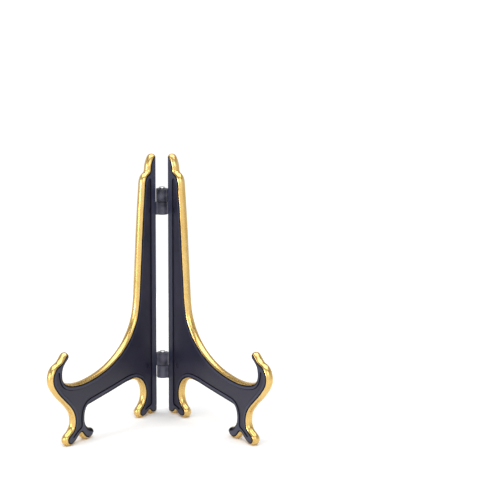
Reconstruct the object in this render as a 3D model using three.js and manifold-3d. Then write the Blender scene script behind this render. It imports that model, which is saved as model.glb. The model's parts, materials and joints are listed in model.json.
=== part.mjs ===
// Folding display stand for a plate: two mirrored leaves on a pair of stacked-barrel hinges.
//
// Millimetres, +Z up. The stand faces -Y with its spine at the back, and it stands open at rest.
// The origin is on the table, at the middle of the stand's footprint.
//
// Each leaf is made in its own frame: X runs forward from the hinge axis, Y through the
// thickness and Z up. The leaf is then turned about the hinge axis to its place.

import * as THREE from "three";
import { mergeVertices } from "three/addons/utils/BufferGeometryUtils.js";
import Module from "manifold-3d";

const wasm = await Module();
wasm.setup();

// ---- Driving dimensions ------------------------------------------------------------------

const OPEN_ANGLE = 69; // degrees between the leaves at rest
const LEAF_THICKNESS = 6.4;
const CROWN = 1.65; // how far the domed edge stands proud of the outline of the flat faces
const CROWN_LAND = 0.4; // width of the flat strip along the middle of the domed edge
const FOLD_GAP = 0.3; // from the hinge axis to a leaf's inner face, so that folded leaves clear
const HINGE_SETBACK = 7.2; // from the hinge axis to the flat end of the spine

const KNUCKLE_RADIUS = 4.3;
const KNUCKLE_HEIGHT = 9.15;
const KNUCKLE_GAP = 0.3; // between the two stacked knuckles of a hinge
const WEB_THICKNESS = 2.8; // of the web that joins a knuckle to its leaf
const WEB_ROOT = 3; // how far a web reaches into its leaf
const UPPER_HINGE_HEIGHT = 155.1; // of the split between the knuckles
const LOWER_HINGE_HEIGHT = 34.4;

const PIN_RADIUS = 1.2;
const BORE_RADIUS = 1.3;
const PIN_HEAD_RADIUS = 2.3;
const PIN_HEAD_HEIGHT = 1.3;
const PIN_SEAT_GAP = 0.3; // between a pin's head and the knuckle under it
const PIN_TIP_CHAMFER = 0.3;

const ROUND_SIDES = 24; // sides of a knuckle, a bore and a pin
const CURVE_STEPS = 4; // straight steps in each rounded corner of the outline
const BEVEL_STEPS = 3; // steps from a flat face to the crown of the edge
const DOME_STEPS = 4; // steps from a pin head's rim to its middle

const CUT_OVERRUN = 1; // how far a bore's cutter runs past its knuckle
const FAR = 300; // past a leaf every way
const SAME_POINT = 1e-5; // two points this near are one
const HALF_WAY = 0.5;

// ---- Outline of a leaf's flat face -------------------------------------------------------

// Corners as [forward from the spine's end, up from the table, reach]. The curve leaves one
// side of a corner and joins the next at that reach from it, or half way where none is given.
const LEAF_OUTLINE = [
  // finial
  [0, 188.5, 0.8],
  [2.3, 188.2],
  [5.5, 182.8],
  [5.9, 177.3, 2.2],
  [12.2, 174.5],
  [13.1, 165.6],
  // front edge of the back rest
  [15.4, 145],
  [18.1, 111],
  [20.4, 82],
  // cradle that the plate's rim sits in
  [25, 69.1],
  [36.6, 55.5],
  [56, 45.3],
  [78, 40.8],
  [95, 40.8],
  // hook
  [108.4, 45],
  [108.6, 57],
  [100.8, 62.8, 2.4],
  [102.6, 65.4, 3],
  [108.4, 59.5, 3],
  [116, 57.5],
  [119.4, 48.1],
  [111.8, 38.1],
  [102, 29.7],
  // front foot
  [94.6, 21.2],
  [95, 10.4],
  [104, 5.6, 3.2],
  [102.4, 1.2, 3],
  [96.8, 1.2],
  [88.4, 8, 3],
  [82.8, 1.2],
  [77, 1.2, 3],
  [74.2, 5.2, 3],
  [80.4, 6.2],
  [85.8, 13.2],
  [83.4, 24.8],
  [74, 26.2],
  // underside of the arm
  [50, 29.4],
  [27.5, 33],
  // back foot
  [16, 28.2],
  [11.6, 17.6],
  [14.6, 9],
  [20.8, 5.2, 3],
  [19, 1.2, 3],
  [13, 1.2],
  [8.6, 5.2, 3],
  [5.2, 1.2],
  [0, 1.2, 1.6],
];

// ---- Geometry helpers --------------------------------------------------------------------

function roundedShape(corners) {
  const points = corners.map(([forward, up]) => new THREE.Vector2(forward, up));
  const shape = new THREE.Shape();
  corners.forEach(([, , reach = Infinity], i) => {
    const corner = points[i];
    const towards = (neighbour) => {
      const length = corner.distanceTo(neighbour);
      return corner.clone().lerp(neighbour, Math.min(reach / length, HALF_WAY));
    };
    const start = towards(points.at(i - 1));
    const end = towards(points[(i + 1) % points.length]);
    if (i === 0) shape.moveTo(start.x, start.y);
    else shape.lineTo(start.x, start.y);
    shape.quadraticCurveTo(corner.x, corner.y, end.x, end.y);
  });
  shape.closePath();
  return shape;
}

function box(from, to) {
  const size = to.map((value, axis) => value - from[axis]);
  const centre = to.map((value, axis) => (value + from[axis]) / 2);
  return new THREE.BoxGeometry(...size).translate(...centre);
}

// An upright cylinder centred on the hinge axis.
function upright(radius, bottom, top) {
  const cylinder = new THREE.CylinderGeometry(radius, radius, top - bottom, ROUND_SIDES);
  return cylinder.rotateX(Math.PI / 2).translate(0, 0, (top + bottom) / 2);
}

function toManifold(geometry) {
  const bare = geometry.clone();
  bare.deleteAttribute("normal");
  bare.deleteAttribute("uv");
  const merged = mergeVertices(bare, SAME_POINT);
  const mesh = new wasm.Mesh({
    numProp: 3,
    vertProperties: new Float32Array(merged.attributes.position.array),
    triVerts: new Uint32Array(merged.index.array),
  });
  return new wasm.Manifold(mesh);
}

function toGeometry(solid) {
  const mesh = solid.getMesh();
  const geometry = new THREE.BufferGeometry();
  geometry.setAttribute("position", new THREE.BufferAttribute(mesh.vertProperties, 3));
  geometry.setIndex(new THREE.BufferAttribute(mesh.triVerts, 1));
  geometry.computeVertexNormals();
  return geometry;
}

// ---- Sub-parts ---------------------------------------------------------------------------

// The plate of a leaf. outward is +1 or -1, the side of the hinge axis that it lies on along Y.
function leafPlate(outward) {
  const bevel = (LEAF_THICKNESS - CROWN_LAND) / 2;
  const plate = new THREE.ExtrudeGeometry(roundedShape(LEAF_OUTLINE), {
    depth: CROWN_LAND,
    bevelThickness: bevel,
    bevelSize: CROWN,
    bevelSegments: BEVEL_STEPS,
    curveSegments: CURVE_STEPS,
  });
  plate.translate(0, 0, -CROWN_LAND / 2).rotateX(Math.PI / 2);
  return plate.translate(HINGE_SETBACK, outward * (FOLD_GAP + LEAF_THICKNESS / 2), 0);
}

// A knuckle and the web that carries it, whose outer face runs tangent to the knuckle.
function knuckle(outward, bottom) {
  const top = bottom + KNUCKLE_HEIGHT;
  const webFaces = [outward * (KNUCKLE_RADIUS - WEB_THICKNESS), outward * KNUCKLE_RADIUS];
  const web = box(
    [0, Math.min(...webFaces), bottom],
    [HINGE_SETBACK + WEB_ROOT, Math.max(...webFaces), top],
  );
  return toManifold(upright(KNUCKLE_RADIUS, bottom, top)).add(toManifold(web));
}

// A whole leaf. knuckleBottoms are the heights at which its own knuckles start.
function leafGeometry(outward, knuckleBottoms) {
  const behindSpine = box([-FAR, -FAR, -FAR], [HINGE_SETBACK, FAR, FAR]);
  const belowTable = box([-FAR, -FAR, -FAR], [FAR, FAR, 0]);
  let solid = toManifold(leafPlate(outward)).subtract(toManifold(behindSpine));
  for (const bottom of knuckleBottoms) {
    const top = bottom + KNUCKLE_HEIGHT;
    const bore = upright(BORE_RADIUS, bottom - CUT_OVERRUN, top + CUT_OVERRUN);
    solid = solid.add(knuckle(outward, bottom)).subtract(toManifold(bore));
  }
  return toGeometry(solid.subtract(toManifold(belowTable)));
}

// A headed pin whose shaft runs through both knuckles of the hinge split at this height.
function pinGeometry(hingeHeight) {
  const tip = hingeHeight - KNUCKLE_GAP / 2 - KNUCKLE_HEIGHT;
  const seat = hingeHeight + KNUCKLE_GAP / 2 + KNUCKLE_HEIGHT + PIN_SEAT_GAP;
  const profile = [
    new THREE.Vector2(0, tip),
    new THREE.Vector2(PIN_RADIUS - PIN_TIP_CHAMFER, tip),
    new THREE.Vector2(PIN_RADIUS, tip + PIN_TIP_CHAMFER),
    new THREE.Vector2(PIN_RADIUS, seat),
  ];
  for (let step = 0; step <= DOME_STEPS; step++) {
    const turn = (step / DOME_STEPS) * (Math.PI / 2);
    const radius = step === DOME_STEPS ? 0 : PIN_HEAD_RADIUS * Math.cos(turn);
    profile.push(new THREE.Vector2(radius, seat + PIN_HEAD_HEIGHT * Math.sin(turn)));
  }
  return new THREE.LatheGeometry(profile, ROUND_SIDES).rotateX(Math.PI / 2);
}

// ---- Materials ---------------------------------------------------------------------------

function blackPlastic() {
  return new THREE.MeshStandardMaterial({ color: 0x26262c, roughness: 0.45, metalness: 0 });
}

function steel() {
  return new THREE.MeshStandardMaterial({ color: 0xb4b4b8, roughness: 0.3, metalness: 1 });
}

// ---- Assembly ----------------------------------------------------------------------------

function addPart(parent, name, geometry, material) {
  const mesh = new THREE.Mesh(geometry, material);
  mesh.name = name;
  parent.add(mesh);
}

const lowerKnuckle = (hingeHeight) => hingeHeight - KNUCKLE_GAP / 2 - KNUCKLE_HEIGHT;
const upperKnuckle = (hingeHeight) => hingeHeight + KNUCKLE_GAP / 2;

// The right leaf has the outermost knuckles, so the left leaf is held between them.
const rightKnuckles = [upperKnuckle(UPPER_HINGE_HEIGHT), lowerKnuckle(LOWER_HINGE_HEIGHT)];
const leftKnuckles = [lowerKnuckle(UPPER_HINGE_HEIGHT), upperKnuckle(LOWER_HINGE_HEIGHT)];

const stand = new THREE.Group();
const halfAngle = THREE.MathUtils.degToRad(OPEN_ANGLE / 2);

const rightSide = new THREE.Group();
rightSide.rotation.z = halfAngle - Math.PI / 2;
addPart(rightSide, "right_leaf", leafGeometry(1, rightKnuckles), blackPlastic());
addPart(rightSide, "lower_hinge_pin", pinGeometry(LOWER_HINGE_HEIGHT), steel());

const leftSide = new THREE.Group();
leftSide.rotation.z = -halfAngle - Math.PI / 2;
addPart(leftSide, "left_leaf", leafGeometry(-1, leftKnuckles), blackPlastic());
addPart(leftSide, "upper_hinge_pin", pinGeometry(UPPER_HINGE_HEIGHT), steel());

stand.add(rightSide, leftSide);

// The hinge axis goes behind the origin, so that the footprint is centred on it.
const extent = new THREE.Box3().setFromObject(stand, true);
stand.position.y = -(extent.min.y + extent.max.y) / 2;
stand.updateMatrixWorld(true);

export default stand;
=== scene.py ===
"""Looks of the folding plate stand: two moulded black leaves with gilt edges, on two pinned hinges.

Everything is in metres, in the frame of the CAD model: +Z up, the stand faces -Y, its spine is at +Y.
Each leaf is made in its own frame and then moved to its place. In that frame x runs forward from
the hinge axis, y runs outward through the thickness, from the face that looks at the other leaf,
and z runs up from the table.
"""

import json
import math

import bmesh
import bpy
from mathutils import Matrix, Vector, noise


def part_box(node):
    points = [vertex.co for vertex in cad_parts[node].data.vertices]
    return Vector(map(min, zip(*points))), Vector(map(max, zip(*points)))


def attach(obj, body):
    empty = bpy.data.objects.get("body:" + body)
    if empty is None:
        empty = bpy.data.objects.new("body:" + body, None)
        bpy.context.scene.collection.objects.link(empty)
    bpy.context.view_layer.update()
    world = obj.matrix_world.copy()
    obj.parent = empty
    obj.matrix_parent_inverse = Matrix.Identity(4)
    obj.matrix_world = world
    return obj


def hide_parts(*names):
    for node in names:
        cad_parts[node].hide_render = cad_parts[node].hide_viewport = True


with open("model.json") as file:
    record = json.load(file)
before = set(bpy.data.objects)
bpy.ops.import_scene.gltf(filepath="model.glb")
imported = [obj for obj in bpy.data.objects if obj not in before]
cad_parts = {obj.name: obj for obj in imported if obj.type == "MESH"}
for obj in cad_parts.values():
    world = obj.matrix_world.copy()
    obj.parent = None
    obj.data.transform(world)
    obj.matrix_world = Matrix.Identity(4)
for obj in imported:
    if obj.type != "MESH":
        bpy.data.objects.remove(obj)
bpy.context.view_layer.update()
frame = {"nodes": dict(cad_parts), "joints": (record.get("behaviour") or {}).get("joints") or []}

MM = 0.001
NEAR = 0.01 * MM  # two CAD points this near are one

# ---- Values from the frame -----------------------------------------------------------------

FOLD = frame["joints"][0]
HINGE = Vector(FOLD["pos_m"])
HALF_ANGLE = math.radians(FOLD["range_deg"][1]) / 2  # the leaves close by their whole opening
SIDE = {"right_leaf": 1, "left_leaf": -1}  # which way each leaf lies along X

# ---- Sizes that the looks add --------------------------------------------------------------

OUTLINE_STEP = 0.6 * MM
SECTION_STEPS = 20  # round the edge, from one flat face to the other
SHOULDER = 1.4 * MM  # how far inside the outline the rounding of the edge begins
SPINE_SHOULDER = 0.35 * MM  # the same, along the spine
SPINE_STEPS = 40

PANEL_DEPTH = 0.6 * MM  # of the sunk panel in each face
PANEL_RIM = 2.4 * MM  # from the outline to the panel's wall
PANEL_SPINE_RIM = 4.6 * MM  # from the end of the spine to the panel's wall
PANEL_WALL = 0.8 * MM  # width of the sloping wall
PANEL_STEP = 1.0 * MM  # between the points of the panel's border
PANEL_SMOOTHING = 6  # passes that round the corners of the panel
PANEL_SLACK = 0.02 * MM  # by which a border point may be too near the outline
PANEL_FLATNESS = 0.99  # cosine of the most that a panel's floor leans
WALL_STEPS = 6
WALL_OVERSHOOT = 1.15  # the wall is still steep where it meets the face
PANEL_OVERRUN = 1.0 * MM  # how far the panel's cutter stands out of the face

GILT_PROUD = 0.03 * MM
GILT_SUNK = 0.12 * MM
GILT_STRAY = 0.04  # how far the painted borders stray, in radians of the edge's section
GILT_STRAY_LENGTH = 6 * MM
OTHER_BORDER = Vector((0, 9, 0))  # how far off the outer border reads the same noise
GILT_ARCH_START = math.radians(64)  # the paint keeps to the middle of the edge under the arm
TOE_HEIGHT = 6 * MM  # only the feet reach below it

WEB_THICKNESS = 2.8 * MM  # of the web that joins a knuckle to its leaf
WEB_ROOT = 2.5 * MM  # how far a web reaches into its leaf
WEB_FILLET = 1.2 * MM  # radius in the corner between a web and its knuckle
ARC_STEPS = 48  # sides of a knuckle's barrel, a bore and a pin
KNUCKLE_ROUND = 0.35 * MM  # radius of a knuckle's rims
ROUND_STEPS = 3  # faces across that radius
BORE_RADIUS = 1.28 * MM
BORE_CHAMFER = 0.3 * MM

EJECTOR_RADIUS = 1.7 * MM
EJECTOR_DEPTH = 0.25 * MM
EJECTOR_CUTTER = 1.0 * MM  # its length, which takes it out of the panel
EJECTOR_PLACES = ((14.9 * MM, 150.5 * MM), (18.2 * MM, 37.3 * MM))  # (x, z) on each leaf

PIN_RIM = 0.25  # share of a pin head's height that is its rim
PIN_RIM_CHAMFER = 0.4  # share of that rim that is chamfered
DOME_STEPS = ARC_STEPS // 3  # from a pin head's rim to its middle

SHARP = math.radians(35)  # edges that turn more than this stay crisp
LARGE_FACE_WEIGHT = 100  # the most: large faces decide the shading at their corners

ROOM_SHARE = 0.85  # of the room inside an outline that a rounded edge may take
EVEN_PASSES = 8  # in which the values along an outline are averaged


# ---- Reading the CAD leaves ----------------------------------------------------------------


def leaf_matrix(side):
    """From a leaf's frame to the row frame. The left leaf's frame is mirrored."""
    sine, cosine = math.sin(HALF_ANGLE), math.cos(HALF_ANGLE)
    forward = Vector((side * sine, -cosine, 0))
    outward = Vector((side * cosine, sine, 0))
    turn = Matrix((forward, outward, Vector((0, 0, 1)))).transposed().to_4x4()
    return Matrix.Translation((HINGE.x, HINGE.y, 0)) @ turn


def leaf_points(name):
    to_leaf = leaf_matrix(SIDE[name]).inverted()
    return [to_leaf @ v.co for v in frame["nodes"][name].data.vertices]


def face_border(name, points, depth):
    """The border of a leaf's flat face at that depth: (x, z) points in order round it."""
    border, places = set(), {}
    for polygon in frame["nodes"][name].data.polygons:
        corners = [points[i] for i in polygon.vertices]
        if any(abs(p.y - depth) > NEAR for p in corners):
            continue
        keys = [(round(p.x / NEAR), round(p.z / NEAR)) for p in corners]
        places.update(zip(keys, corners))
        for a, b in zip(keys, keys[1:] + keys[:1]):
            if (b, a) in border:
                border.remove((b, a))
            else:
                border.add((a, b))
    following = dict(border)
    here = min(following)
    ordered = [here]
    while following[here] != ordered[0]:
        here = following[here]
        ordered.append(here)
    return [Vector((places[k].x, places[k].z)) for k in ordered]


def outline_from_spine(border):
    """The border as an open path, from the top of the spine round the front to its bottom."""
    spine = min(p.x for p in border)
    ends = [i for i, p in enumerate(border) if p.x < spine + NEAR]
    top = max(ends, key=lambda i: border[i].y)
    path = border[top:] + border[:top]
    if path[1].x < spine + NEAR:  # it went down the spine first
        path = [path[0]] + path[:0:-1]
    return path


def measure_leaf(name):
    """What the CAD leaf says: its outline, depths, crown and the heights of its knuckles."""
    points = leaf_points(name)
    knuckle_heights = sorted({round(p.z / NEAR) for p in points if p.x < 0})
    heights = [h * NEAR for h in knuckle_heights]
    plate = [p for p in points if p.z > heights[-1] + MM]  # above the hinges, only plate
    inner, outer = min(p.y for p in plate), max(p.y for p in plate)
    outline = outline_from_spine(face_border(name, points, inner))
    front = smooth_path(outline)
    loop = front + [front[-1].lerp(front[0], k / SPINE_STEPS) for k in range(1, SPINE_STEPS)]
    normals = loop_normals(loop)
    wanted = [SHOULDER] * len(front) + [SPINE_SHOULDER] * (len(loop) - len(front))
    return {
        "loop": loop,  # points right round the leaf: first the front ones, then up the spine
        "front": len(front),
        "normals": normals,
        "shoulders": shoulders(loop, normals, wanted),
        "spine": outline[0].x,
        "inner": inner,
        "outer": outer,
        "crown": max(p.z for p in points) - max(p.y for p in outline),
        "radius": -min(p.x for p in points),
        "knuckles": list(zip(heights[::2], heights[1::2])),
    }


# ---- Curves --------------------------------------------------------------------------------


def catmull_rom(before, start, end, after, share):
    """A point on the centripetal Catmull-Rom curve from start to end."""
    knots = [0.0]
    corners = (before, start, end, after)
    for a, b in zip(corners, corners[1:]):
        knots.append(knots[-1] + math.sqrt((b - a).length))
    t = knots[1] + share * (knots[2] - knots[1])

    def between(a, b, from_knot, to_knot):
        return a + (b - a) * ((t - from_knot) / (to_knot - from_knot))

    first = between(before, start, knots[0], knots[1])
    second = between(start, end, knots[1], knots[2])
    third = between(end, after, knots[2], knots[3])
    return between(
        between(first, second, knots[0], knots[2]),
        between(second, third, knots[1], knots[3]),
        knots[1],
        knots[2],
    )


def smooth_path(path):
    """The path through these points, curved and finely divided. It leaves the spine along it."""
    down = (path[-1] - path[0]).normalized() * OUTLINE_STEP
    corners = [path[0] + down, *path, path[-1] - down]
    fine = []
    for i in range(1, len(corners) - 2):
        count = max(1, round((corners[i + 1] - corners[i]).length / OUTLINE_STEP))
        fine += [catmull_rom(*corners[i - 1 : i + 3], k / count) for k in range(count)]
    return [*fine, path[-1]]


def loop_normals(loop):
    """Unit normals that point out of the leaf, at each point of the loop."""
    normals = []
    for before, after in zip(loop[-1:] + loop[:-1], loop[1:] + loop[:1]):
        along = (after - before).normalized()
        normals.append(Vector((-along.y, along.x)))
    return normals


def shoulders(loop, normals, wanted):
    """How far inside the outline the rounding of the edge begins, at each point of the loop.

    It is as wanted, or less where the leaf is too narrow or turns too tightly."""
    room = []
    for place, normal, full in zip(loop, normals, wanted):
        widest = full / ROOM_SHARE
        for other in loop:
            away = other - place
            inward = -away.dot(normal)
            if inward > NEAR:
                widest = min(widest, away.length_squared / (2 * inward))
        room.append(widest * ROOM_SHARE)
    return [min(most, even) for most, even in zip(room, even_out(room, EVEN_PASSES))]


def even_out(values, passes):
    """The values or points round a loop, each averaged with its neighbours a few times over."""
    for _ in range(passes):
        around = zip(values[-1:] + values[:-1], values, values[1:] + values[:1])
        values = [(before + here * 2 + after) / 4 for before, here, after in around]
    return values


def edge_point(leaf, shoulder, angle, proud=0.0):
    """A point of the edge's section, as (outward from the outline, depth), proud of the plastic.

    The section is half an ellipse, and angle goes from 0 at the inner face to pi at the outer."""
    reach = leaf["crown"] + shoulder
    half = (leaf["outer"] - leaf["inner"]) / 2
    middle = (leaf["outer"] + leaf["inner"]) / 2
    normal = Vector((half * math.sin(angle), -reach * math.cos(angle))).normalized()
    place = Vector((reach * math.sin(angle) - shoulder, middle - half * math.cos(angle)))
    return place + normal * proud


# ---- Mesh helpers --------------------------------------------------------------------------


def new_piece(name, mesh):
    """An object in the scene with that mesh."""
    piece = bpy.data.objects.new(name, mesh)
    bpy.context.scene.collection.objects.link(piece)
    return piece


def to_mesh(bm, name):
    """The mesh, with its faces turned outwards. It frees the bmesh."""
    bmesh.ops.recalc_face_normals(bm, faces=bm.faces)
    mesh = bpy.data.meshes.new(name)
    bm.to_mesh(mesh)
    bm.free()
    return mesh


def grid_faces(bm, rows):
    """Quads between neighbouring rows of vertices."""
    for row, following in zip(rows, rows[1:]):
        for k in range(len(row) - 1):
            bm.faces.new((row[k], row[k + 1], following[k + 1], following[k]))


def trim(bm, leaf):
    """Cuts away what lies below the table or behind the spine, and closes the cuts."""
    table = ((0, 0, 0), (0, 0, -1))
    spine = ((leaf["spine"], 0, 0), (-1, 0, 0))
    for place, outside in (table, spine):
        everything = [*bm.verts, *bm.edges, *bm.faces]
        bmesh.ops.bisect_plane(
            bm, geom=everything, plane_co=place, plane_no=outside, clear_outer=True
        )
        bmesh.ops.holes_fill(bm, edges=[e for e in bm.edges if e.is_boundary])


def lathe(name, profile, steps):
    """A solid turned about the hinge axis. The profile is (radius, height), from end to end."""
    bm = bmesh.new()
    rings = []
    for radius, height in profile:
        if radius == 0:
            rings.append([bm.verts.new((0, 0, height))])
            continue
        ring = []
        for k in range(steps):
            angle = 2 * math.pi * k / steps
            ring.append(bm.verts.new((radius * math.cos(angle), radius * math.sin(angle), height)))
        rings.append(ring)
    for lower, upper in zip(rings, rings[1:]):
        for k in range(steps):
            after = (k + 1) % steps
            corners = [
                lower[k % len(lower)],
                lower[after % len(lower)],
                upper[after % len(upper)],
                upper[k % len(upper)],
            ]
            bm.faces.new(list(dict.fromkeys(corners)))  # a ring of one point gives triangles
    return to_mesh(bm, name)


def combine(piece, operation, tool):
    """Joins the tool to the piece, or cuts it away, and removes the tool."""
    modifier = piece.modifiers.new("combine", "BOOLEAN")
    modifier.operation = operation
    modifier.solver = "EXACT"
    modifier.object = tool
    settle(piece)
    bpy.data.objects.remove(tool)


def settle(piece):
    """Applies the piece's modifiers."""
    evaluated = piece.evaluated_get(bpy.context.evaluated_depsgraph_get())
    mesh = bpy.data.meshes.new_from_object(evaluated)
    piece.modifiers.clear()
    piece.data = mesh


def shade(piece):
    """Smooth shading, crisp at sharp edges and flat on flat faces."""
    bm = bmesh.new()
    bm.from_mesh(piece.data)
    for face in bm.faces:
        face.smooth = True
    for edge in bm.edges:
        edge.smooth = edge.calc_face_angle(0) < SHARP
    bm.to_mesh(piece.data)
    bm.free()
    weighted = piece.modifiers.new("flat faces stay flat", "WEIGHTED_NORMAL")
    weighted.keep_sharp = True
    weighted.weight = LARGE_FACE_WEIGHT
    settle(piece)


# ---- Leaves --------------------------------------------------------------------------------


def plate_mesh(leaf):
    """The plate of a leaf, with its domed edge and flat spine, in the leaf's frame."""
    angles = [math.pi * k / SECTION_STEPS for k in range(SECTION_STEPS + 1)]
    bm = bmesh.new()
    rows = []
    for place, normal, shoulder in zip(leaf["loop"], leaf["normals"], leaf["shoulders"]):
        row = []
        for out, depth in [edge_point(leaf, shoulder, angle) for angle in angles]:
            p = place + normal * out
            row.append(bm.verts.new((p.x, depth, p.y)))
        rows.append(row)
    grid_faces(bm, [*rows, rows[0]])
    bm.faces.new([row[0] for row in rows])
    bm.faces.new([row[-1] for row in rows])
    trim(bm, leaf)
    return to_mesh(bm, "plate")


def prism(name, profile, bottom, top):
    """An upright solid whose plan is the profile, a list of (x, y) points in order round it."""
    bm = bmesh.new()
    lower = [bm.verts.new((p.x, p.y, bottom)) for p in profile]
    upper = [bm.verts.new((p.x, p.y, top)) for p in profile]
    grid_faces(bm, [[*lower, lower[0]], [*upper, upper[0]]])
    bm.faces.new(lower)
    bm.faces.new(upper)
    return to_mesh(bm, name)


def arc(centre, radius, start, end, steps):
    """Points along an arc, from one angle to the other."""
    turns = [start + (end - start) * k / steps for k in range(steps + 1)]
    return [
        Vector((centre.x + radius * math.cos(turn), centre.y + radius * math.sin(turn)))
        for turn in turns
    ]


def knuckle_profile(leaf):
    """The knuckle and its web seen from above: the web is flush with the knuckle outside."""
    radius = leaf["radius"]
    inside = radius - WEB_THICKNESS
    root = leaf["spine"] + WEB_ROOT
    reach = radius + WEB_FILLET
    drop = inside - WEB_FILLET
    fillet = Vector((math.sqrt(reach**2 - drop**2), drop))
    meeting = math.atan2(fillet.y, fillet.x)
    barrel = arc(Vector((0, 0)), radius, math.pi / 2, 2 * math.pi + meeting, ARC_STEPS)
    corner = arc(fillet, WEB_FILLET, math.pi + meeting, math.pi / 2, ARC_STEPS // 6)
    return [*barrel, *corner[1:], Vector((root, inside)), Vector((root, radius))]


def knuckle_mesh(leaf, bottom, top):
    """A knuckle and its web, with rounded rims, in the leaf's frame."""
    bm = bmesh.new()
    bm.from_mesh(prism("knuckle", knuckle_profile(leaf), bottom, top))
    for level in (bottom, top):
        rim = [e for e in bm.edges if all(abs(v.co.z - level) < NEAR for v in e.verts)]
        bmesh.ops.bevel(
            bm,
            geom=rim,
            offset=KNUCKLE_ROUND,
            segments=ROUND_STEPS,
            profile=0.5,
            affect="EDGES",
            clamp_overlap=False,
        )
    return to_mesh(bm, "knuckle")


def bore_mesh(bottom, top):
    """The solid that cuts a knuckle's bore, with a chamfer at both mouths."""
    mouth = BORE_RADIUS + 2 * BORE_CHAMFER
    profile = [
        (0, bottom - BORE_CHAMFER),
        (mouth, bottom - BORE_CHAMFER),
        (BORE_RADIUS, bottom + BORE_CHAMFER),
        (BORE_RADIUS, top - BORE_CHAMFER),
        (mouth, top + BORE_CHAMFER),
        (0, top + BORE_CHAMFER),
    ]
    return lathe("bore", profile, ARC_STEPS)


def panel_outline(leaf):
    """The border of the sunk panel's floor: (x, z) points in order round it."""
    front = leaf["loop"][: leaf["front"]]
    inset = PANEL_RIM + PANEL_WALL
    spine = leaf["spine"] + PANEL_SPINE_RIM + PANEL_WALL
    kept = []
    for place, normal in zip(front, leaf["normals"]):
        point = place - normal * inset
        point.x = max(point.x, spine)
        crowded = any((point - other).length < inset - PANEL_SLACK for other in front)
        if not crowded and (not kept or (point - kept[-1]).length > PANEL_STEP):
            kept.append(point)
    count = round((kept[0] - kept[-1]).length / PANEL_STEP)
    kept += [kept[-1].lerp(kept[0], k / count) for k in range(1, count)]
    return even_out(kept, PANEL_SMOOTHING)


def panel_mesh(leaf, face, inward):
    """The solid that cuts the sunk panel out of a face. inward is the way into the plastic."""
    floor = panel_outline(leaf)
    normals = loop_normals(floor)
    profile = []
    for k in range(WALL_STEPS + 1):
        share = k / WALL_STEPS
        rise = share * share * (3 - 2 * share)  # an S that starts and ends level
        profile.append((PANEL_WALL * share, PANEL_DEPTH * (1 - rise * WALL_OVERSHOOT)))
    profile.append((PANEL_WALL, -PANEL_OVERRUN))
    bm = bmesh.new()
    rows = []
    for out, depth in profile:
        points = [p + n * out for p, n in zip(floor, normals)]
        rows.append([bm.verts.new((p.x, face + inward * depth, p.y)) for p in points])
    grid_faces(bm, [[*row, row[0]] for row in rows])
    bm.faces.new(rows[0])
    bm.faces.new(rows[-1])
    return to_mesh(bm, "panel")


def ejector_mesh(leaf, x, z):
    """The shallow disc that an ejector pin left in the floor of the inner panel."""
    out = -EJECTOR_CUTTER
    profile = [(0, out), (EJECTOR_RADIUS, out), (EJECTOR_RADIUS, 0), (0, 0)]
    disc = lathe("ejector", profile, ARC_STEPS)
    lay_down = Matrix.Rotation(-math.pi / 2, 4, "X")
    bottom = leaf["inner"] + PANEL_DEPTH + EJECTOR_DEPTH
    disc.transform(Matrix.Translation((x, bottom, z)) @ lay_down)
    return disc


def to_row_frame(piece, side):
    """Moves a piece from its leaf's frame to its place. The left leaf is mirrored on the way."""
    piece.data.transform(leaf_matrix(side))
    if side < 0:
        piece.data.flip_normals()


def store_zones(piece, leaf, side):
    """Stores for the materials, at each corner of the mesh, what part of the leaf it is on.

    turned is how far the plate's rounded edge turns from its flat faces, panel is 1 on the floors
    of the panels, and barrel is 1 on the knuckles."""
    to_leaf = leaf_matrix(side).inverted()
    outward = to_leaf.inverted().to_3x3() @ Vector((0, 1, 0))
    mesh = piece.data
    zones = {"turned": [], "panel": [], "barrel": []}
    for polygon in mesh.polygons:
        centre = to_leaf @ polygon.center
        on_barrel = centre.x < leaf["spine"] - NEAR
        on_spine = abs(centre.x - leaf["spine"]) < NEAR
        sunk = min(centre.y - leaf["inner"], leaf["outer"] - centre.y)
        on_panel = abs(polygon.normal.dot(outward)) > PANEL_FLATNESS and sunk > PANEL_DEPTH / 2
        for corner in polygon.loop_indices:
            turn = 1 - abs(mesh.corner_normals[corner].vector.dot(outward))
            zones["turned"].append(0.0 if on_barrel or on_spine else turn)
            zones["panel"].append(float(on_panel and not on_barrel))
            zones["barrel"].append(float(on_barrel))
    for zone, values in zones.items():
        mesh.attributes.new(zone, "FLOAT", "CORNER").data.foreach_set("value", values)


def make_leaf(name, material):
    """The moulding of a leaf: its plate, panels, ejector marks and bored knuckles."""
    side, leaf = SIDE[name], measure_leaf(name)
    body = new_piece(name.replace("_leaf", "_leaf_moulding"), plate_mesh(leaf))
    for face, inward in ((leaf["inner"], 1), (leaf["outer"], -1)):
        combine(body, "DIFFERENCE", new_piece("panel", panel_mesh(leaf, face, inward)))
    for x, z in EJECTOR_PLACES:
        combine(body, "DIFFERENCE", new_piece("ejector", ejector_mesh(leaf, x, z)))
    for bottom, top in leaf["knuckles"]:
        combine(body, "UNION", new_piece("knuckle", knuckle_mesh(leaf, bottom, top)))
        combine(body, "DIFFERENCE", new_piece("bore", bore_mesh(bottom, top)))
    to_row_frame(body, side)
    shade(body)
    store_zones(body, leaf, side)
    body.data.materials.clear()
    body.data.materials.append(material)
    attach(body, name)
    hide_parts(name)
    return leaf


# ---- Gilding -------------------------------------------------------------------------------


def arch(path):
    """The numbers of the points under the arm, between the toes of the two feet that face."""
    middle = max(p.x for p in path) / 2
    toes = [i for i, p in enumerate(path) if p.y < TOE_HEIGHT]
    front = min((i for i in toes if path[i].x > middle), key=lambda i: path[i].x)
    back = max((i for i in toes if path[i].x < middle), key=lambda i: path[i].x)
    return range(front, back)


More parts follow.
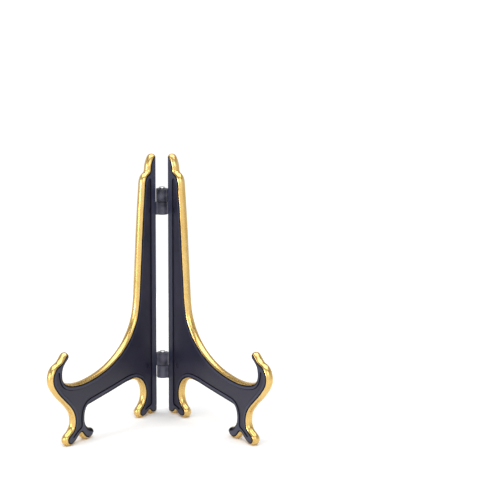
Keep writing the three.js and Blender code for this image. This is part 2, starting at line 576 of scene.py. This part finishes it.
def gilt_starts(leaf):
    """The section angle where the paint starts at each point: later where the arch looks back."""
    starts = [math.asin(shoulder / (shoulder + leaf["crown"])) for shoulder in leaf["shoulders"]]
    for i in arch(leaf["loop"][: leaf["front"]]):
        if leaf["normals"][i].x < 0:  # the arm's underside and the rear of the front foot
            starts[i] = GILT_ARCH_START
    return even_out(starts, EVEN_PASSES)


def make_gilt_edge(name, leaf, material):
    """The skin of gold paint on the domed edge, as a thin closed shell sunk into the plastic."""
    side = SIDE[name]
    bm = bmesh.new()
    rows = []
    stations = list(zip(leaf["loop"], leaf["normals"], leaf["shoulders"], gilt_starts(leaf)))
    for place, normal, shoulder, start in stations[: leaf["front"]]:
        where = Vector((place.x, side * MM, place.y)) / GILT_STRAY_LENGTH
        first = start + GILT_STRAY * noise.noise(where)
        last = math.pi - start + GILT_STRAY * noise.noise(where + OTHER_BORDER)
        angles = [first + (last - first) * k / SECTION_STEPS for k in range(SECTION_STEPS + 1)]
        skin = [edge_point(leaf, shoulder, a, GILT_PROUD) for a in angles]
        back = [edge_point(leaf, shoulder, a, -GILT_SUNK) for a in reversed(angles)]
        row = []
        for out, depth in [*skin, *back]:
            p = place + normal * out
            row.append(bm.verts.new((p.x, depth, p.y)))
        rows.append([*row, row[0]])
    grid_faces(bm, rows)
    bm.faces.new(rows[0][:-1])
    bm.faces.new(rows[-1][:-1])
    trim(bm, leaf)
    edge = new_piece(name.replace("_leaf", "_gilt_edge"), to_mesh(bm, "gilt_edge"))
    to_row_frame(edge, side)
    shade(edge)
    edge.data.materials.append(material)
    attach(edge, name)


# ---- Pins ----------------------------------------------------------------------------------


def make_pin(node, body, material):
    """A finer copy of a CAD pin: a chamfered shank and a domed head with a soft rim."""
    low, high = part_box(node)
    spread = {}  # the CAD pin's radius at each of its heights
    for vertex in frame["nodes"][node].data.vertices:
        height = round(vertex.co.z / NEAR)
        away = (vertex.co.xy - HINGE.xy).length
        spread[height] = max(spread.get(height, 0.0), away)
    heights = sorted(spread)
    radius = spread[heights[1]]
    head = (high.x - low.x) / 2
    seat = min(h for h in heights if spread[h] > head - NEAR) * NEAR
    chamfer = radius - spread[heights[0]]
    rise = high.z - seat
    rim = PIN_RIM * rise
    soft = PIN_RIM_CHAMFER * rim
    profile = [(0, low.z), (radius - chamfer, low.z), (radius, low.z + chamfer), (radius, seat)]
    profile += [(head - soft, seat), (head, seat + soft)]
    for k in range(1, DOME_STEPS + 1):
        turn = math.pi / 2 * k / DOME_STEPS
        across = 0 if k == DOME_STEPS else head * math.cos(turn)
        profile.append((across, seat + rim + (rise - rim) * math.sin(turn)))
    pin = new_piece(node.replace("_pin", "_rivet"), lathe(node, profile, ARC_STEPS))
    pin.data.transform(Matrix.Translation((HINGE.x, HINGE.y, 0)))
    shade(pin)
    pin.data.materials.append(material)
    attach(pin, body)
    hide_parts(node)


# ---- Materials -----------------------------------------------------------------------------

DARK_SLATE = (0.010, 0.0100, 0.024, 1)
LIGHT_SLATE = (0.018, 0.0165, 0.034, 1)
SPECKS = (0.05, 0.05, 0.07, 1)
# painted highlight: the raised rim and the spine are coloured lighter than the sunk panel of the same
# plastic
RIM_PAINTED_HIGHLIGHT = (0.026, 0.028, 0.055, 1)
# painted shade: the near-black colour laid on the rounded edges
EDGE_PAINTED_SHADE = (0.003, 0.0025, 0.006, 1)
KNUCKLE_BLACK = (0.022, 0.022, 0.036, 1)
# partly scuff marks, partly painted highlight: the lighter colour of the patches on the knuckles
SCUFFS_AND_HIGHLIGHTS = (0.12, 0.12, 0.17, 1)

DEEP_GOLD = (0.63, 0.41, 0.12, 1)
PALE_GOLD = (0.73, 0.50, 0.18, 1)
THIN_GOLD = (0.34, 0.20, 0.06, 1)  # where the black shows through the paint

DULL_STEEL = (0.46, 0.46, 0.48, 1)
BRIGHT_STEEL = (0.66, 0.66, 0.68, 1)

FLOOR_GREY = (0.90, 0.90, 0.90, 1)
FLOOR_WHITE = (0.92, 0.92, 0.92, 1)
WHITE = (1, 1, 1, 1)


class Nodes:
    """A material's node tree, with short calls to add nodes and link them."""

    def __init__(self, owner):
        owner.use_nodes = True
        self.tree = owner.node_tree
        coordinates = self.add("ShaderNodeTexCoord")
        self.place = coordinates.outputs["Object"]
        self.direction = coordinates.outputs["Generated"]  # in a world, which way the ray goes

    def add(self, kind, inputs=None, **settings):
        node = self.tree.nodes.new(kind)
        for key, value in settings.items():
            setattr(node, key, value)
        for key, value in (inputs or {}).items():
            self.put(value, node.inputs[key])
        return node

    def put(self, value, socket):
        if isinstance(value, bpy.types.NodeSocket):
            self.tree.links.new(value, socket)
        else:
            socket.default_value = value

    def set(self, **inputs):
        """Sets or links the shader's own sockets: base_color is Base Color."""
        shader = self.tree.nodes["Principled BSDF"]
        names = {s.name.lower().replace(" ", "_"): s for s in shader.inputs}
        for key, value in inputs.items():
            self.put(value, names[key])

    def zone(self, name):
        """A value stored on the mesh by store_zones."""
        return self.add("ShaderNodeAttribute", attribute_name=name).outputs["Fac"]

    def noise(self, size, detail=3.0, roughness=0.5, stretch=None):
        """Noise whose features are about that many metres across, from 0 to 1."""
        place = self.place
        if stretch:
            place = self.add("ShaderNodeMapping", {"Vector": place, "Scale": stretch}).outputs[0]
        inputs = {"Vector": place, "Scale": 1 / size, "Detail": detail, "Roughness": roughness}
        return self.add("ShaderNodeTexNoise", inputs).outputs["Fac"]

    def ramp(self, value, low, high, low_to, high_to):
        """The value, from low to high, as a number from low_to to high_to."""
        ends = {"From Min": low, "From Max": high, "To Min": low_to, "To Max": high_to}
        return self.add("ShaderNodeMapRange", {"Value": value, **ends}).outputs["Result"]

    def mix(self, share, first, second):
        """Blends two colours: share 0 gives the first and 1 the second."""
        node = self.add("ShaderNodeMixRGB")
        for value, socket in zip((share, first, second), node.inputs):
            self.put(value, socket)
        return node.outputs["Color"]

    def maths(self, operation, first, second):
        node = self.add("ShaderNodeMath", operation=operation)
        self.put(first, node.inputs[0])
        self.put(second, node.inputs[1])
        return node.outputs[0]

    def bump(self, height, distance, below=None):
        inputs = {"Height": height, "Distance": distance, "Strength": 1.0}
        if below:
            inputs["Normal"] = below
        return self.add("ShaderNodeBump", inputs).outputs["Normal"]


def black_plastic():
    """Blue-black moulded plastic: satin panels, a rim painted lighter as a highlight, rounded edges
    darkened by painted shade, and knuckles with scuff marks that are partly painted highlights.
    """
    material = bpy.data.materials.new("black_plastic")
    nodes = Nodes(material)
    cloud = nodes.noise(22 * MM, 4)
    grain = nodes.noise(0.35 * MM, 2)
    flow = nodes.noise(30 * MM, 1, stretch=(1, 1, 0.35))
    # the rounded edges: their near-black colour and weaker reflection below are painted shade, and
    # they are also made glossier
    edge = nodes.ramp(nodes.zone("turned"), 0.0, 0.04, 0, 1)
    panel = nodes.zone("panel")
    barrel = nodes.zone("barrel")
    slate = nodes.mix(nodes.ramp(cloud, 0.3, 0.7, 0, 1), DARK_SLATE, LIGHT_SLATE)
    speckled = nodes.mix(nodes.ramp(grain, 0.62, 0.8, 0, 0.35), slate, SPECKS)
    # the rim and spine take a lighter blue than the sunk panel: painted highlight
    lit_rim_and_panel_colour = nodes.mix(panel, RIM_PAINTED_HIGHLIGHT, speckled)
    # lighter patches on the knuckles: partly scuff marks, partly painted highlights
    scuff_and_highlight_patches = nodes.ramp(nodes.noise(7 * MM, 1), 0.40, 0.65, 0, 0.7)
    scuffed_and_highlighted = nodes.mix(scuff_and_highlight_patches, KNUCKLE_BLACK, SCUFFS_AND_HIGHLIGHTS)
    coloured = nodes.mix(barrel, lit_rim_and_panel_colour, scuffed_and_highlighted)
    satin = nodes.ramp(cloud, 0.3, 0.7, 0.38, 0.50)
    nodes.set(
        base_color=nodes.mix(edge, coloured, EDGE_PAINTED_SHADE),
        roughness=nodes.maths("SUBTRACT", satin, nodes.maths("MULTIPLY", edge, 0.12)),
        specular_ior_level=nodes.ramp(edge, 0, 1, 0.42, 0.06),
        normal=nodes.bump(grain, 0.012 * MM, nodes.bump(flow, 0.25 * MM)),
    )
    return material


def gilt():
    """Brushed gold paint, thin in small spots."""
    material = bpy.data.materials.new("gilt_edge")
    nodes = Nodes(material)
    cloud = nodes.noise(9 * MM, 4)
    strokes = nodes.noise(0.9 * MM, 3, stretch=(1, 1, 0.3))
    flake = nodes.noise(0.18 * MM, 1)
    colour = nodes.mix(nodes.ramp(cloud, 0.3, 0.7, 0, 1), DEEP_GOLD, PALE_GOLD)
    thin = nodes.ramp(nodes.noise(3.5 * MM, 5, 0.65), 0.64, 0.74, 0, 0.6)
    brushed = nodes.ramp(strokes, 0.3, 0.7, 0.20, 0.30)
    flaked = nodes.ramp(flake, 0.4, 0.7, 0, 0.05)
    nodes.set(
        base_color=nodes.mix(thin, colour, THIN_GOLD),
        metallic=0.92,
        roughness=nodes.maths("ADD", brushed, flaked),
        normal=nodes.bump(flake, 0.006 * MM, nodes.bump(strokes, 0.015 * MM)),
        coat_weight=0.25,
        coat_roughness=0.25,
    )
    return material


def steel():
    """Bright steel with fine turning marks."""
    material = bpy.data.materials.new("pin_steel")
    nodes = Nodes(material)
    cloud = nodes.noise(1.5 * MM, 3)
    turned = nodes.noise(0.25 * MM, 2, stretch=(0.3, 0.3, 3))
    nodes.set(
        base_color=nodes.mix(cloud, DULL_STEEL, BRIGHT_STEEL),
        metallic=1.0,
        roughness=nodes.ramp(turned, 0.3, 0.7, 0.26, 0.4),
        normal=nodes.bump(turned, 0.01 * MM),
    )
    return material


def pale_floor():
    """Matt white, a very little uneven."""
    material = bpy.data.materials.new("pale_floor")
    nodes = Nodes(material)
    cloud = nodes.noise(0.6, 2)
    nodes.set(
        base_color=nodes.mix(cloud, FLOOR_GREY, FLOOR_WHITE),
        roughness=0.9,
        specular_ior_level=0.1,
    )
    return material


# ---- Studio --------------------------------------------------------------------------------

FLOOR_SIZE = 0.9
FLOOR_DROP = 0.05 * MM  # keeps the floor clear of the soles
VIEW_AZIMUTH = math.radians(1.07)
VIEW_ELEVATION = math.radians(12.67)
VIEW_ROLL = math.radians(-0.3)
VIEW_DISTANCE = 1.325
AIM_HEIGHT = 82.1 * MM  # of the point on the hinge axis that the distance and angles are from
AIM_LEFT = math.radians(2.745)  # how far left of the picture's middle that point is seen
AIM_DOWN = math.radians(1.587)
FOCAL_LENGTH = 131.5  # mm, on Blender's 36 mm sensor
NEAREST_SEEN, FURTHEST_SEEN = 0.01, 100

BRIGHT_BELOW = math.radians(22)  # heights above the horizon between which the room dims
DIM_FROM = math.radians(36)
FRONT_ENDS = -0.9  # Y of the directions where the front of the room starts to dim
SIDES_BEGIN = -0.3  # Y of the directions where it is as dim as the sides and the back
FRONT_LIGHT = 1.2  # strengths of the room's parts
SIDE_LIGHT = 0.8
CEILING_LIGHT = 0.32
BACKDROP_LIGHT = 1.05  # what the camera sees past the floor

AIM_OF_LIGHTS = (0, 0, 0.09)


def make_floor():
    """A plain square under the stand, which is no part of it."""
    bm = bmesh.new()
    half = FLOOR_SIZE / 2
    corners = [(-half, -half), (half, -half), (half, half), (-half, half)]
    bm.faces.new([bm.verts.new((x, y, -FLOOR_DROP)) for x, y in corners])
    floor = new_piece("floor", to_mesh(bm, "floor"))
    floor.data.materials.append(pale_floor())


def make_camera():
    """The camera looks past the stand, as in the picture, with no lens shift."""
    data = bpy.data.cameras.new("camera")
    data.lens = FOCAL_LENGTH
    data.clip_start = NEAREST_SEEN
    data.clip_end = FURTHEST_SEEN
    camera = bpy.data.objects.new("camera", data)
    bpy.context.scene.collection.objects.link(camera)
    bpy.context.scene.camera = camera
    level = math.cos(VIEW_ELEVATION)
    back = Vector((math.sin(VIEW_AZIMUTH) * level, -math.cos(VIEW_AZIMUTH) * level, 0))
    back.z = math.sin(VIEW_ELEVATION)
    right = Vector((math.cos(VIEW_AZIMUTH), math.sin(VIEW_AZIMUTH), 0))
    up = back.cross(right)
    rolled_right = right * math.cos(VIEW_ROLL) + up * math.sin(VIEW_ROLL)
    rolled_up = up * math.cos(VIEW_ROLL) - right * math.sin(VIEW_ROLL)
    facing = Matrix((rolled_right, rolled_up, back)).transposed().to_quaternion()
    seen_at = Vector((-math.tan(AIM_LEFT), -math.tan(AIM_DOWN), -1))
    camera.rotation_mode = "QUATERNION"
    camera.rotation_quaternion = facing @ seen_at.rotation_difference(Vector((0, 0, -1)))
    camera.location = Vector((HINGE.x, HINGE.y, AIM_HEIGHT)) + back * VIEW_DISTANCE


def add_light(name, place, size, power):
    """A white soft box of that size in metres and power in watts, aimed at the stand."""
    data = bpy.data.lights.new(name, "AREA")
    data.shape = "RECTANGLE"
    data.size, data.size_y = size
    data.energy = power
    light = bpy.data.objects.new(name, data)
    bpy.context.scene.collection.objects.link(light)
    light.location = place
    light.rotation_mode = "QUATERNION"
    light.rotation_quaternion = (Vector(AIM_OF_LIGHTS) - Vector(place)).to_track_quat("-Z", "Y")


def make_studio():
    """A room that is bright near the horizon and dim above it, behind a plain white backdrop."""
    world = bpy.data.worlds.new("studio")
    nodes = Nodes(world)
    direction = nodes.add("ShaderNodeSeparateXYZ", {"Vector": nodes.direction})
    backward, upward = direction.outputs["Y"], direction.outputs["Z"]
    wall = nodes.ramp(backward, FRONT_ENDS, SIDES_BEGIN, FRONT_LIGHT, SIDE_LIGHT)
    room = nodes.ramp(upward, math.sin(BRIGHT_BELOW), math.sin(DIM_FROM), wall, CEILING_LIGHT)
    seen = nodes.add("ShaderNodeLightPath").outputs["Is Camera Ray"]
    strength = nodes.maths("MAXIMUM", room, nodes.maths("MULTIPLY", seen, BACKDROP_LIGHT))
    background = nodes.tree.nodes["Background"]
    nodes.put(strength, background.inputs["Strength"])
    nodes.put(WHITE, background.inputs["Color"])
    bpy.context.scene.world = world


def make_light():
    """A large box overhead, and two small ones in front, on the right and on the left."""
    add_light("top_box", place=(0, 0, 2.6), size=(3.0, 2.5), power=75)
    add_light("front_box", place=(0.25, -1.3, 0.9), size=(0.9, 0.6), power=5)
    add_light("left_box", place=(-1.1, -0.8, 0.4), size=(0.4, 0.5), power=7)
    bpy.context.scene.view_settings.view_transform = "Standard"


# ---- Everything ----------------------------------------------------------------------------

black, gold, pin_metal = black_plastic(), gilt(), steel()
for leaf_name in SIDE:
    make_gilt_edge(leaf_name, make_leaf(leaf_name, black), gold)
make_pin("upper_hinge_pin", "left_leaf", pin_metal)
make_pin("lower_hinge_pin", "right_leaf", pin_metal)
make_floor()
make_studio()
make_light()
make_camera()

bpy.context.view_layer.update()
